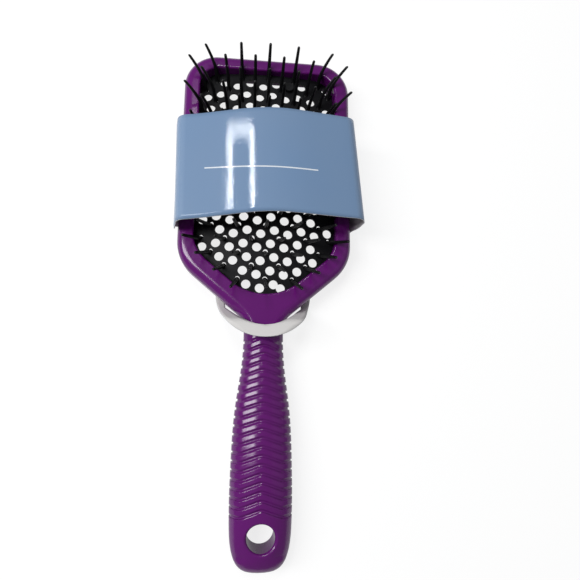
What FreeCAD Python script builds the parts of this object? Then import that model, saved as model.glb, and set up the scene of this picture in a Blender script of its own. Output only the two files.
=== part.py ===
"""Detangling paddle brush in millimetres.

The origin is the centre of the hang hole, +Y runs to the top of the head, and the pins point to +Z.
The sleeve is the card band that the brush is sold in, and it slides off over the handle.
"""
import FreeCAD
import Part
import math
import os

Vector = FreeCAD.Vector
X_AXIS = Vector(1, 0, 0)
Y_AXIS = Vector(0, 1, 0)
Z_AXIS = Vector(0, 0, 1)

SIZES = [
    # Handle: stations along Y, with the width and thickness of the oval section at each
    ("end_reach", 14.8),
    ("bulge_y", 12.6),
    ("bulge_width", 26.5),
    ("bulge_thick", 17.5),
    ("palm_y", 31.0),
    ("palm_width", 24.2),
    ("palm_thick", 16.6),
    ("waist_y", 53.0),
    ("waist_width", 19.8),
    ("waist_thick", 14.4),
    ("neck_y", 81.0),
    ("neck_width", 17.7),
    ("neck_thick", 13.4),
    ("root_y", 95.0),
    ("root_width", 18.4),
    ("root_thick", 11.0),
    ("end_power", 2.4),
    ("hole_radius", 5.9),
    ("hole_round", 1.0),
    # Grooves of the grip
    ("groove_count", 21),
    ("groove_start_y", 7.9),
    ("groove_pitch", 3.575),
    ("groove_width", 1.2),
    ("groove_depth", 0.5),
    ("wave_low_height", 3.8),
    ("wave_low_half_width", 9.0),
    ("wave_high_height", 2.6),
    ("wave_high_half_width", 6.4),
    ("wave_crest_radius", 5.0),
    ("wave_foot_radius", 3.0),
    # Ring-shaped head
    ("back_depth", 8.0),
    ("front_height", 5.0),
    ("head_top_y", 218.0),
    ("head_half_width", 40.0),
    ("head_top_radius", 16.0),
    ("head_low_radius", 20.0),
    ("head_low_y", 115.7),
    ("shoulder_slope", 40.0),
    ("stem_half_width", 7.0),
    ("stem_y", 75.0),
    ("stem_radius", 5.5),
    ("flare_radius", 16.0),
    ("rim_round", 4.2),
    ("back_round", 5.0),
    ("lip_round", 0.9),
    # Opening of the ring, and the seat of the pad behind its lip
    ("opening_half_width", 32.5),
    ("opening_top_y", 210.9),
    ("opening_tip_y", 93.8),
    ("opening_top_radius", 9.5),
    ("opening_low_radius", 16.0),
    ("opening_tip_radius", 24.0),
    ("lip_under_z", -2.0),
    ("seat_reach", 1.3),
    ("snap_reach", 0.8),
    # Pad
    ("pad_fit", 0.15),
    ("pad_thick", 1.2),
    ("pad_crown_z", 5.0),
    ("pad_mid_y", 156.0),
    ("dome_cross_radius", 150.0),
    ("dome_long_radius", 400.0),
    ("skirt_thick", 0.7),
    ("flange_thick", 1.4),
    ("vent_radius", 2.1),
    ("vent_shift", 1.2),
    ("vent_land", 0.45),
    # Pins
    ("pin_row_count", 17),
    ("pin_first_y", 108.1),
    ("pin_row_pitch", 6.235),
    ("pin_pitch", 12.5),
    ("pin_edge", 2.0),
    ("pin_lip_gap", 0.35),
    ("pin_draw", 0.1),
    ("touch", 0.000001),
    ("pin_pull", 1.6),
    ("pin_length", 17.5),
    ("pin_root_radius", 1.0),
    ("pin_tip_radius", 0.65),
    ("pin_head_radius", 1.2),
    ("pin_head_thick", 0.7),
    ("pin_fit", 0.15),
    ("pin_head_gap", 0.25),
    ("splay_side_low", 29.0),
    ("splay_side_high", 9.0),
    ("splay_end_low", 24.5),
    ("splay_end_high", 31.0),
    ("splay_edge_share", 0.24),
    # Card sleeve
    ("card_thick", 0.5),
    ("band_low_y", 134.6),
    ("band_width", 47.2),
    ("band_left_x", -43.6),
    ("band_right_x", 42.2),
    ("left_fold_low_x", -40.2),
    ("left_fold_high_x", -41.4),
    ("left_fold_z", 11.0),
    ("right_fold_low_x", 43.8),
    ("right_fold_high_x", 39.6),
    ("right_fold_z", 14.0),
    ("shoulder_inset", 1.8),
    ("shoulder_z", 19.8),
    ("band_apex_z", 24.7),
    ("band_bulge_radius", 150.0),
    ("band_fold_radius", 1.4),
    ("band_shoulder_radius", 5.0),
    ("back_gap", 0.4),
    ("tongue_half_width", 22.5),
    ("tongue_end_y", 81.4),
    ("tongue_bend_y", 96.0),
    ("tongue_knee_y", 88.5),
    ("tongue_knee_z", 10.2),
    ("tongue_end_z", 12.6),
    ("tongue_bend_radius", 9.0),
    ("tongue_knee_radius", 4.0),
    ("tongue_lap", 7.0),
    ("tongue_round_radius", 22.0),
    ("leg_half_width", 39.0),
    ("leg_low_y", 119.5),
    ("leg_width", 5.5),
    ("leg_radius", 3.0),
    ("window_low_y", 86.6),
    ("window_low_radius", 19.8),
    ("window_waist_half_width", 17.6),
    ("window_foot_half_width", 19.0),
    ("window_half_width", 33.5),
    ("window_high_y", 146.0),
    ("window_radius", 2.0),
    # One overrun for every cut
    ("overrun", 2.0),
]

doc = FreeCAD.newDocument("detangling_brush")
sheet = doc.addObject("Spreadsheet::Sheet", "Sizes")
for row, (alias, value) in enumerate(SIZES, start=1):
    sheet.set(f"A{row}", alias)
    sheet.set(f"B{row}", str(value))
    sheet.setAlias(f"B{row}", alias)
doc.recompute()


def size(alias):
    return float(sheet.get(alias))


def add(kind, name, **bindings):
    """Add an object to the document and bind its sizes to cells of the sheet."""
    item = doc.addObject(kind, name)
    for prop, expression in bindings.items():
        item.setExpression(prop, expression)
    return item


def feature(name, shape):
    item = doc.addObject("Part::Feature", name)
    item.Shape = shape
    return item


def cut(name, base, tool):
    item = add("Part::Cut", name)
    item.Base = base
    item.Tool = tool
    return item


def common(name, base, tool):
    item = add("Part::Common", name)
    item.Base = base
    item.Tool = tool
    return item


def fuse(name, *shapes):
    item = add("Part::MultiFuse", name)
    item.Shapes = list(shapes)
    return item


def extrude(name, base, direction, length):
    """Extrude a wire or face along a fixed direction by an expression of the sheet."""
    item = add("Part::Extrusion", name, LengthFwd=length)
    item.Base = base
    item.DirMode = "Custom"
    item.Dir = direction
    item.Solid = True
    return item


def rounded_outline(points, radii):
    """Lines and arcs of a closed polygon whose corners are rounded by the given radii."""
    corners = []
    for index, (corner, radius) in enumerate(zip(points, radii)):
        back = (points[index - 1] - corner).normalize()
        ahead = (points[(index + 1) % len(points)] - corner).normalize()
        half_angle = back.getAngle(ahead) / 2
        reach = radius / math.tan(half_angle)
        rise = radius / math.sin(half_angle) - radius
        middle = corner + (back + ahead).normalize() * rise
        corners.append((corner + back * reach, middle, corner + ahead * reach))
    pieces = []
    for index, (start, middle, end) in enumerate(corners):
        if radii[index] > 0:
            pieces.append(Part.Arc(start, middle, end))
        pieces.append(Part.LineSegment(end, corners[(index + 1) % len(corners)][0]))
    return pieces


def wire_of(pieces):
    return Part.Wire([piece.toShape() for piece in pieces])


def mirrored(half):
    """Close a half outline, given from the centre line outwards, with its mirror image in X."""
    other = [Vector(-point.x, point.y, point.z) for point in half if point.x > 0]
    return half + other[::-1]


def between(low, high, share):
    return low + (high - low) * share


# Handle: ovals from the rounded end to the root inside the head, all flush with the back
END_SHARES = [0.999, 0.985, 0.94, 0.85, 0.7, 0.46, 0.25]
STATIONS = ["bulge", "palm", "waist", "neck", "root"]


def oval(name, y, width, thick, inset):
    ellipse = add("Part::Ellipse", name)
    ellipse.Placement = FreeCAD.Placement(Vector(), FreeCAD.Rotation(X_AXIS, 90))
    ellipse.setExpression("MajorRadius", f"{width} / 2 - {inset}")
    ellipse.setExpression("MinorRadius", f"{thick} / 2 - {inset}")
    ellipse.setExpression("Placement.Base.y", y)
    return ellipse


def handle_ovals(prefix, inset, end_shares):
    """Sections of the handle, drawn in by the inset, with the given shares of the rounded end."""
    ovals = []
    for index, share in enumerate(end_shares):
        scale = f"(1 - {share} ^ Sizes.end_power) ^ (1 / Sizes.end_power)"
        end = oval(f"{prefix}_end_{index}",
                   f"Sizes.bulge_y - (Sizes.bulge_y + Sizes.end_reach) * {share}",
                   f"Sizes.bulge_width * {scale}", f"Sizes.bulge_thick * {scale}", inset)
        end.setExpression("Placement.Base.z", "Sizes.bulge_thick / 2 - Sizes.back_depth")
        ovals.append(end)
    for station in STATIONS:
        section = oval(f"{prefix}_{station}", f"Sizes.{station}_y",
                       f"Sizes.{station}_width", f"Sizes.{station}_thick", inset)
        section.setExpression("Placement.Base.z", f"Sizes.{station}_thick / 2 - Sizes.back_depth")
        ovals.append(section)
    return ovals


def loft(name, sections):
    item = add("Part::Loft", name)
    item.Sections = sections
    item.Solid = True
    item.Ruled = False
    return item


handle_skin = loft("handle_skin", handle_ovals("skin", "0", END_SHARES))
handle_core = loft("handle_core", handle_ovals("core", "Sizes.groove_depth", END_SHARES[-3:]))


# Grip: each groove is a wave that humps towards the head and runs round both sides
def wave_groove(index):
    share = index / (size("groove_count") - 1)
    crest = between(size("wave_low_height"), size("wave_high_height"), share)
    foot = between(size("wave_low_half_width"), size("wave_high_half_width"), share)
    y = size("groove_start_y") + index * size("groove_pitch")
    side = size("bulge_width")
    depth = size("back_depth") + size("overrun")
    path = [(-side, 0), (-foot, 0), (0, crest), (foot, 0), (side, 0)]
    radii = [0, size("wave_foot_radius"), size("wave_crest_radius"), size("wave_foot_radius"), 0]
    low = [Vector(across, y + along - size("groove_width") / 2, -depth) for across, along in path]
    high = [point + Y_AXIS * size("groove_width") for point in low]
    outline = rounded_outline(low + high[::-1], radii + radii[::-1])
    height = size("bulge_thick") + 2 * size("overrun")
    return Part.Face(wire_of(outline)).extrude(Z_AXIS * height)


grooves = feature("groove_cutters",
                  Part.makeCompound([wave_groove(i) for i in range(int(size("groove_count")))]))
ribs = cut("grip_ribs", handle_skin, grooves)
grip = fuse("grip", ribs, handle_core)


# Head: a ring with a rounded rim, open behind, on a stem that runs into the neck
def head_outline():
    slope = math.radians(size("shoulder_slope"))
    half = size("head_half_width")
    stem = size("stem_half_width")
    flare_y = size("head_low_y") - (half - stem) * math.tan(slope)
    points = mirrored([Vector(stem, size("stem_y")), Vector(stem, flare_y),
                       Vector(half, size("head_low_y")), Vector(half, size("head_top_y"))])
    radii = [size(f"{name}_radius") for name in ("stem", "flare", "head_low", "head_top")]
    return rounded_outline(points, radii + radii[::-1])


def opening_tip_y(grow):
    return size("opening_tip_y") - grow / math.cos(math.radians(size("shoulder_slope")))


def opening_half_width(y, grow):
    """Half the width of the grown opening at y, along its straight sides."""
    slope = math.radians(size("shoulder_slope"))
    return min(size("opening_half_width") + grow, (y - opening_tip_y(grow)) / math.tan(slope))


def opening_outline(grow):
    half = size("opening_half_width") + grow
    low_y = opening_tip_y(grow) + half * math.tan(math.radians(size("shoulder_slope")))
    points = mirrored([Vector(0, opening_tip_y(grow)), Vector(half, low_y),
                       Vector(half, size("opening_top_y") + grow)])
    radii = [size(f"opening_{name}_radius") + grow for name in ("tip", "low", "top", "top", "low")]
    return rounded_outline(points, radii)


head = add("PartDesign::Body", "head")


def head_sketch(name, pieces, height):
    sketch = head.newObject("Sketcher::SketchObject", name)
    plane = next(item for item in head.Origin.OriginFeatures if item.Role == "XY_Plane")
    sketch.AttachmentSupport = (plane, [""])
    sketch.MapMode = "FlatFace"
    sketch.setExpression("AttachmentOffset.Base.z", height)
    sketch.addGeometry(pieces, False)
    return sketch


def head_pocket(name, grow, height, depth):
    """Cut the grown opening downwards from a height."""
    pocket = head.newObject("PartDesign::Pocket", name)
    pocket.Profile = head_sketch(f"{name}_sketch", opening_outline(grow), height)
    pocket.setExpression("Length", depth)
    doc.recompute()
    return pocket


def head_fillet(name, base, edges, radius):
    fillet = head.newObject("PartDesign::Fillet", name)
    fillet.Base = (base, edges)
    fillet.setExpression("Radius", radius)
    doc.recompute()
    return fillet


def edge_names(shape, wanted):
    return [f"Edge{index}" for index, edge in enumerate(shape.Edges, start=1)
            if any(edge.isSame(other) for other in wanted)]


def flat_face(shape, height):
    """The level face of a shape at a height."""
    return next(face for face in shape.Faces
                if isinstance(face.Surface, Part.Plane)
                and math.isclose(abs(face.normalAt(0, 0).z), 1)
                and math.isclose(face.CenterOfMass.z, height, rel_tol=1e-6))


block = head.newObject("PartDesign::Pad", "head_block")
block.Profile = head_sketch("head_sketch", head_outline(), "-Sizes.back_depth")
block.setExpression("Length", "Sizes.back_depth + Sizes.front_height")
doc.recompute()
front_edges = edge_names(block.Shape, flat_face(block.Shape, size("front_height")).Edges)
rim = head_fillet("rim_round", block, front_edges, "Sizes.rim_round")
back_edges = edge_names(rim.Shape, flat_face(rim.Shape, -size("back_depth")).Edges)
head_fillet("back_round", rim, back_edges, "Sizes.back_round")
head_pocket("opening", 0, "Sizes.front_height + Sizes.overrun",
            "Sizes.front_height + Sizes.back_depth + 2 * Sizes.overrun")
head_pocket("snap_wall", size("snap_reach"), "Sizes.lip_under_z",
            "Sizes.lip_under_z + Sizes.back_depth + Sizes.overrun")
seat = head_pocket("pad_seat", size("seat_reach"), "Sizes.lip_under_z",
                   "Sizes.flange_thick + 2 * Sizes.pad_fit")
front = flat_face(seat.Shape, size("front_height"))
lip_edges = [edge for wire in front.Wires if not wire.isSame(front.OuterWire) for edge in wire.Edges]
head_fillet("lip_round", seat, edge_names(seat.Shape, lip_edges), "Sizes.lip_round")

# Handle and head are one moulding, with the hang hole through the end
moulding = fuse("moulding", head, grip)
hang_pin = add("Part::Cylinder", "hang_hole_cutter", Radius="Sizes.hole_radius",
               Height="Sizes.bulge_thick + 2 * Sizes.overrun")
hang_pin.setExpression("Placement.Base.z", "-Sizes.back_depth - Sizes.overrun")
pierced = cut("pierced_moulding", moulding, hang_pin)
doc.recompute()
bore = next(face for face in pierced.Shape.Faces if isinstance(face.Surface, Part.Cylinder)
            and math.isclose(face.Surface.Radius, size("hole_radius")) and face.Surface.Axis.z != 0)
hole_rims = [edge for edge in bore.Edges if not isinstance(edge.Curve, Part.Line)]
handle_frame = add("Part::Fillet", "handle_frame")
handle_frame.Base = pierced
handle_frame.Edges = [(int(name[len("Edge"):]), size("hole_round"), size("hole_round"))
                      for name in edge_names(pierced.Shape, hole_rims)]


# Pad: a thin domed plate whose skirt drops to a flange that snaps in behind the lip of the ring
FLANGE_LOW = "(Sizes.lip_under_z - Sizes.pad_fit - Sizes.flange_thick)"
pad_grow = -size("pad_fit")
hollow_grow = pad_grow - size("skirt_thick")
flange_grow = size("seat_reach") - size("pad_fit")


def opening_prism(name, grow, height, length):
    face = feature(f"{name}_face", Part.Face(wire_of(opening_outline(grow))))
    face.setExpression("Placement.Base.z", height)
    return extrude(name, face, Z_AXIS, length)


def dome(name, inset):
    """A ring whose outer side curves along the head and across it, with its crest at the crown."""
    ring = add("Part::Torus", name, Radius1="Sizes.dome_long_radius - Sizes.dome_cross_radius",
               Radius2=f"Sizes.dome_cross_radius - {inset}")
    ring.Placement = FreeCAD.Placement(Vector(), FreeCAD.Rotation(Y_AXIS, 90))
    ring.setExpression("Placement.Base.y", "Sizes.pad_mid_y")
    ring.setExpression("Placement.Base.z", "Sizes.pad_crown_z - Sizes.dome_long_radius")
    return ring


def dome_point(x, y):
    """The point of the pad's outer face over a place on the head."""
    ring = size("dome_long_radius") - size("dome_cross_radius")
    reach = ring + math.sqrt(size("dome_cross_radius") ** 2 - x ** 2)
    rise = math.sqrt(reach ** 2 - (y - size("pad_mid_y")) ** 2)
    return Vector(x, y, size("pad_crown_z") - size("dome_long_radius") + rise)


plug = opening_prism("pad_plug", pad_grow, FLANGE_LOW, f"Sizes.pad_crown_z - {FLANGE_LOW}")
domed_plug = common("pad_domed_plug", plug, dome("pad_outer_dome", "0"))
flange = opening_prism("pad_flange", flange_grow, FLANGE_LOW, "Sizes.flange_thick")
hollow = opening_prism("pad_hollow", hollow_grow, f"{FLANGE_LOW} - Sizes.overrun",
                       f"Sizes.pad_crown_z - {FLANGE_LOW} + Sizes.overrun")
domed_hollow = common("pad_domed_hollow", hollow, dome("pad_inner_dome", "Sizes.pad_thick"))
pad_tray = cut("pad_tray", fuse("pad_blank", domed_plug, flange), domed_hollow)


# Pins: rows across the head with every second row half a pitch aside, leaning out from the middle
def pin_columns(row):
    """The places across one row before the outermost are drawn in from the edge."""
    y = size("pin_first_y") + row * size("pin_row_pitch")
    edge = opening_half_width(y, -size("pin_edge"))
    aside = size("pin_pitch") / 2 * (row % 2)
    reach = math.ceil(size("opening_half_width") / size("pin_pitch"))
    columns = [aside + step * size("pin_pitch") for step in range(-reach, reach + 1)]
    return [(x, y) for x in columns if abs(x) <= edge + size("pin_pull")]


def leaning_place(x, y):
    """A pin's root on the pad, with Z along the pin: the further from the middle, the more it leans out."""
    root = dome_point(x, y)
    last_y = size("pin_first_y") + (size("pin_row_count") - 1) * size("pin_row_pitch")
    along_share = (y - size("pin_first_y")) / (last_y - size("pin_first_y"))
    side_share = root.x / size("opening_half_width")
    edge_share = between(side_share, side_share ** 3, size("splay_edge_share"))
    across = between(size("splay_side_low"), size("splay_side_high"), along_share) * edge_share
    end_share = (y - size("pad_mid_y")) / (last_y - size("pad_mid_y"))
    along = (size("splay_end_high") if end_share > 0 else size("splay_end_low")) * end_share
    lean = Vector(math.tan(math.radians(across)), math.tan(math.radians(along)), 1)
    return FreeCAD.Placement(root, FreeCAD.Rotation(Z_AXIS, lean))


opening_wire = wire_of(opening_outline(0))
opening_face = Part.Face(opening_wire)


def wall_room(point):
    """Distance from a point to the wall of the opening, below zero outside, and the way inwards."""
    flat = Vector(point.x, point.y, 0)
    distance, pairs, _ = Part.Vertex(flat).distToShape(opening_wire)
    inside = opening_face.isInside(flat, size("touch"), True)
    inwards = (flat - pairs[0][1]) * (1 if inside else -1)
    return (distance if inside else -distance), inwards.normalize()


def pin_place(x, y):
    """The place of a pin, drawn in from the edge until its root and its shank clear the ring."""
    lip_z = size("front_height") - size("lip_round")
    while True:
        place = leaning_place(x, y)
        axis = place.Rotation.multVec(Z_AXIS)
        passing = place.Base + axis * ((lip_z - place.Base.z) / axis.z)
        root_room, root_inwards = wall_room(place.Base)
        lip_room, lip_inwards = wall_room(passing)
        if root_room < size("pin_edge"):
            step = root_inwards * size("pin_draw")
        elif lip_room < size("pin_root_radius") + size("pin_lip_gap"):
            step = lip_inwards * size("pin_draw")
        else:
            return place
        x += step.x
        y += step.y


SHANK_FOOT = "(Sizes.pad_thick + Sizes.pin_head_gap)"
shank = add("Part::Cone", "pin_shank", Radius1="Sizes.pin_root_radius", Radius2="Sizes.pin_tip_radius",
            Height=f"Sizes.pin_length - Sizes.pin_tip_radius + {SHANK_FOOT}")
shank.setExpression("Placement.Base.z", f"-{SHANK_FOOT}")
tip = add("Part::Sphere", "pin_tip", Radius="Sizes.pin_tip_radius")
tip.setExpression("Placement.Base.z", "Sizes.pin_length - Sizes.pin_tip_radius")
foot = add("Part::Cylinder", "pin_head", Radius="Sizes.pin_head_radius", Height="Sizes.pin_head_thick")
foot.setExpression("Placement.Base.z", f"-{SHANK_FOOT} - Sizes.pin_head_thick")
pin = fuse("pin", shank, tip, foot)
doc.recompute()

pin_rows = [pin_columns(row) for row in range(int(size("pin_row_count")))]
row_nodes = []
for number, columns in enumerate(pin_rows, start=1):
    pins = [pin.Shape.transformed(pin_place(x, y).toMatrix()) for x, y in columns]
    row_nodes.append(feature(f"pin_row_{number:02d}", Part.makeCompound(pins)))


# Vents: one between each pin of an even row and its neighbours in the next rows, turned about that pin
def vent_places():
    keep = size("vent_radius") + size("skirt_thick") + size("vent_land")
    pin_keep = size("vent_radius") + size("pin_root_radius") + size("pin_fit") + size("vent_land")
    roots = [pin_place(x, y).Base for columns in pin_rows for x, y in columns]
    places = []
    for row in range(0, len(pin_rows), 2):
        others = [place for near in (row - 1, row + 1) if near < len(pin_rows)
                  for place in pin_columns(near)]
        for x, y in pin_rows[row]:
            for other_x, other_y in others:
                if abs(other_x - x) > size("pin_pitch"):
                    continue
                away = Vector(other_x - x, other_y - y, 0)
                turn = Vector(-away.y, away.x, 0).normalize() * size("vent_shift")
                spot = Vector(x, y, 0) + away / 2 + turn
                edge = opening_half_width(spot.y, -keep)
                if edge <= 0:
                    continue
                spot.x = max(-edge, min(edge, spot.x))
                gaps = [math.hypot(spot.x - root.x, spot.y - root.y) for root in roots]
                if min(gaps) >= pin_keep:
                    places.append(spot)
    return places


def through_hole(placement, radius):
    """A cutter through the pad along the Z axis of a placement on its outer face."""
    depth = size("pad_thick") + size("overrun")
    cutter = Part.makeCylinder(radius, depth + size("overrun"), Z_AXIS * -depth)
    return cutter.transformed(placement.toMatrix())


vent_cutters = [through_hole(FreeCAD.Placement(dome_point(spot.x, spot.y), FreeCAD.Rotation()),
                             size("vent_radius")) for spot in vent_places()]
pin_cutters = [through_hole(pin_place(x, y), size("pin_root_radius") + size("pin_fit"))
               for columns in pin_rows for x, y in columns]
vented_tray = cut("vented_tray", pad_tray, feature("vent_cutters", Part.makeCompound(vent_cutters)))
vent_pad = cut("vent_pad", vented_tray, feature("pin_cutters", Part.makeCompound(pin_cutters)))


# Sleeve: a card band round the head, and a tongue behind it that the handle passes through
def band_outline(y, left_fold_x, right_fold_x):
    """Outside of the band, seen along Y: a flat back, two leaning sides and a front arched over the pins."""
    back = -size("back_depth") - size("back_gap") - size("card_thick")
    inset = size("shoulder_inset")
    middle = (left_fold_x + right_fold_x) / 2
    places = [(size("band_left_x"), back), (size("band_right_x"), back),
              (right_fold_x, size("right_fold_z")), (right_fold_x - inset, size("shoulder_z")),
              (middle, size("band_apex_z")),
              (left_fold_x + inset, size("shoulder_z")), (left_fold_x, size("left_fold_z"))]
    corners = ["fold", "fold", "fold", "shoulder", "bulge", "shoulder", "fold"]
    points = [Vector(x, y, z) for x, z in places]
    return wire_of(rounded_outline(points, [size(f"band_{corner}_radius") for corner in corners]))


def band_ends(end, y, left_fold_x, right_fold_x):
    """The outside and inside of the card at one end of the band."""
    outside = feature(f"band_{end}_outside", band_outline(y, left_fold_x, right_fold_x))
    inside = add("Part::Offset2D", f"band_{end}_inside", Value="-Sizes.card_thick")
    inside.Source = outside
    return outside, inside


low_outside, low_inside = band_ends("low", size("band_low_y"), size("left_fold_low_x"),
                                    size("right_fold_low_x"))
high_outside, high_inside = band_ends("high", size("band_low_y") + size("band_width"),
                                      size("left_fold_high_x"), size("right_fold_high_x"))
band_block = loft("band_block", [low_outside, high_outside])
band_room = loft("band_room", [low_inside, high_inside])
band = cut("band", band_block, band_room)


def tongue_strip():
    """The strip bent in steps: flat behind the head, steep past the neck, then leaning over it."""
    outer = -size("back_depth") - size("back_gap") - size("card_thick")
    side = -size("leg_half_width")
    route = [Vector(side, size("band_low_y") + size("tongue_lap"), outer),
             Vector(side, size("tongue_bend_y"), outer),
             Vector(side, size("tongue_knee_y"), size("tongue_knee_z")),
             Vector(side, size("tongue_end_y") - size("overrun"), size("tongue_end_z"))]
    inner = []
    for index, point in enumerate(route):
        before = (point - route[index - 1]).normalize() if index > 0 else None
        after = (route[index + 1] - point).normalize() if index + 1 < len(route) else before
        before = before or after
        mean = (before + after).normalize()
        across = X_AXIS.cross(mean) * -1
        inner.append(point + across * (size("card_thick") / mean.dot(after)))
    turns = [0, size("tongue_bend_radius"), size("tongue_knee_radius"), 0]
    outline = rounded_outline(route + inner[::-1], turns + turns[::-1])
    return Part.Face(wire_of(outline)).extrude(X_AXIS * (2 * size("leg_half_width")))


CARD_LOW = -size("back_depth") - size("back_gap") - size("card_thick") - size("overrun")
CARD_HIGH = size("tongue_end_z") + size("overrun")
LEG_SLOPE = math.tan(math.radians(size("shoulder_slope")))


def card_prism(points, radii):
    """An upright prism on a rounded outline that is the same on both sides."""
    outline = rounded_outline(mirrored([Vector(x, y, CARD_LOW) for x, y in points]), radii)
    return Part.Face(wire_of(outline)).extrude(Z_AXIS * (CARD_HIGH - CARD_LOW))


def tongue_plan():
    """The cut card seen from the front: two legs behind the ring, joined by a round end."""
    half, leg_half = size("tongue_half_width"), size("leg_half_width")
    knee_y = size("leg_low_y") - (leg_half - half) * LEG_SLOPE
    points = [(half, size("tongue_end_y")), (half, knee_y), (leg_half, size("leg_low_y")),
              (leg_half, size("band_low_y") + size("tongue_lap"))]
    radii = [size("tongue_round_radius"), size("leg_radius"), size("leg_radius"), 0]
    return card_prism(points, radii + radii[::-1])


def card_window():
    """The window in the card: round where the handle passes, then wide behind the pad."""
    tip_drop = size("window_low_radius") * (1 / math.cos(math.atan(LEG_SLOPE)) - 1)
    tip_y = size("window_low_y") - tip_drop
    waist, foot = size("window_waist_half_width"), size("window_foot_half_width")
    rise = size("leg_width") / math.cos(math.atan(LEG_SLOPE))
    leg_y = size("leg_low_y") - size("leg_half_width") * LEG_SLOPE + rise
    half = size("window_half_width")
    points = [(0, tip_y), (waist, tip_y + waist * LEG_SLOPE), (foot, leg_y + foot * LEG_SLOPE),
              (half, leg_y + half * LEG_SLOPE), (half, size("window_high_y"))]
    turn = size("window_radius")
    return card_prism(points, [size("window_low_radius")] + [turn] * (2 * len(points) - 2))


tongue = common("tongue", feature("tongue_strip", tongue_strip()), feature("tongue_plan", tongue_plan()))
blank = fuse("card_blank", band, tongue)
blank.Refine = True
card_sleeve = cut("card_sleeve", blank, feature("card_window", card_window()))
doc.recompute()

failed = [item.Name for item in doc.Objects if {"Invalid", "Error"} & set(item.State)]
if failed:
    raise RuntimeError(f"failed objects: {failed}")
nodes = [handle_frame, vent_pad, card_sleeve] + row_nodes
for node in nodes:
    node.Label = node.Name
    if node.Shape.isNull() or not node.Shape.isValid():
        raise RuntimeError(f"bad shape: {node.Label}")

os.makedirs("parts", exist_ok=True)
for node in nodes:
    node.Shape.exportStep(f"parts/{node.Label}.step")
    print(node.Label, len(node.Shape.Solids), "solids", round(node.Shape.Volume), "mm3")
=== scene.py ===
import math

import bmesh
import bpy
from mathutils import Matrix, Vector


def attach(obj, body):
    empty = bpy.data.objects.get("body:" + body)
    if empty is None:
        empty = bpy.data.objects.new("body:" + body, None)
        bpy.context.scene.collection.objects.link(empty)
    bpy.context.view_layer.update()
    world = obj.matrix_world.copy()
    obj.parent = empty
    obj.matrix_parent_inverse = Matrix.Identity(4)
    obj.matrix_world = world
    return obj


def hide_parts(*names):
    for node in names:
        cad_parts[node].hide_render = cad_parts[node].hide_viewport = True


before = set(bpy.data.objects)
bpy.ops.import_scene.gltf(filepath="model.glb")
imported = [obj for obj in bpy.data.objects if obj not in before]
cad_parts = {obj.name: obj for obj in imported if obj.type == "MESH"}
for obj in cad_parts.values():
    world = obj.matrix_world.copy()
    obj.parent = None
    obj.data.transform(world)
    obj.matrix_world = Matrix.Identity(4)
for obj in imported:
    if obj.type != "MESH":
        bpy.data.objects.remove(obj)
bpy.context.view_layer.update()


# Handle and head frame: one injection moulding in a glossy, deep purple plastic, from the rounded
# end with its hang hole, over the wave-grooved grip, to the ring that carries the pad.
# The mould is polished, so the skin is smooth, with only faint flow clouds and a soft orange peel.
PURPLE = (0.122, 0.0052, 0.152, 1)
PURPLE_CLOUD = (0.102, 0.0042, 0.126, 1)
MIX_A, MIX_B, MIX_RESULT = 6, 7, 2


def set_inputs(tree, node, inputs):
    """Links each named input of a node to a socket, or sets it to a value."""
    for key, value in inputs.items():
        if isinstance(value, bpy.types.NodeSocket):
            tree.links.new(value, node.inputs[key])
        else:
            node.inputs[key].default_value = value


def add_node(tree, kind, inputs=None, **settings):
    """A node with its settings made and its inputs linked or set."""
    node = tree.nodes.new(kind)
    for name, value in settings.items():
        setattr(node, name, value)
    set_inputs(tree, node, inputs or {})
    return node


def calculate(tree, operation, *values, **settings):
    """The result of one sum on sockets and numbers."""
    node = add_node(tree, "ShaderNodeMath", dict(enumerate(values)), operation=operation, **settings)
    return node.outputs[0]


def mix_colours(tree, share, first, second):
    """A colour between two others. At share 1 it is the second."""
    node = add_node(tree, "ShaderNodeMix", {"Factor": share, MIX_A: first, MIX_B: second}, data_type="RGBA")
    return node.outputs[MIX_RESULT]


def noise(tree, place, scale, detail, rough=0.5):
    """Cloudy values about 0.5."""
    return add_node(tree, "ShaderNodeTexNoise", {
        "Vector": place, "Scale": scale, "Detail": detail, "Roughness": rough}).outputs["Fac"]


def bumped(tree, height, depth):
    """A bump node for a relief of this depth in metres."""
    return add_node(tree, "ShaderNodeBump", {"Height": height, "Distance": depth, "Strength": 1.0})


def own_place(tree):
    """Where a point lies on the object."""
    return add_node(tree, "ShaderNodeTexCoord").outputs["Object"]


def new_group(name, kind, inputs, outputs):
    """An empty node group with named sockets, and its input and output nodes."""
    tree = bpy.data.node_groups.new(name, kind)
    for in_out, sockets in (("INPUT", inputs), ("OUTPUT", outputs)):
        for socket, socket_kind in sockets:
            tree.interface.new_socket(socket, in_out=in_out, socket_type=f"NodeSocket{socket_kind}")
    return tree, tree.nodes.new("NodeGroupInput"), tree.nodes.new("NodeGroupOutput")


def new_material(name):
    """A material with a Principled shader, its nodes and that shader."""
    material = bpy.data.materials.new(name)
    material.use_nodes = True
    return material, material.node_tree, material.node_tree.nodes["Principled BSDF"]


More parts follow.
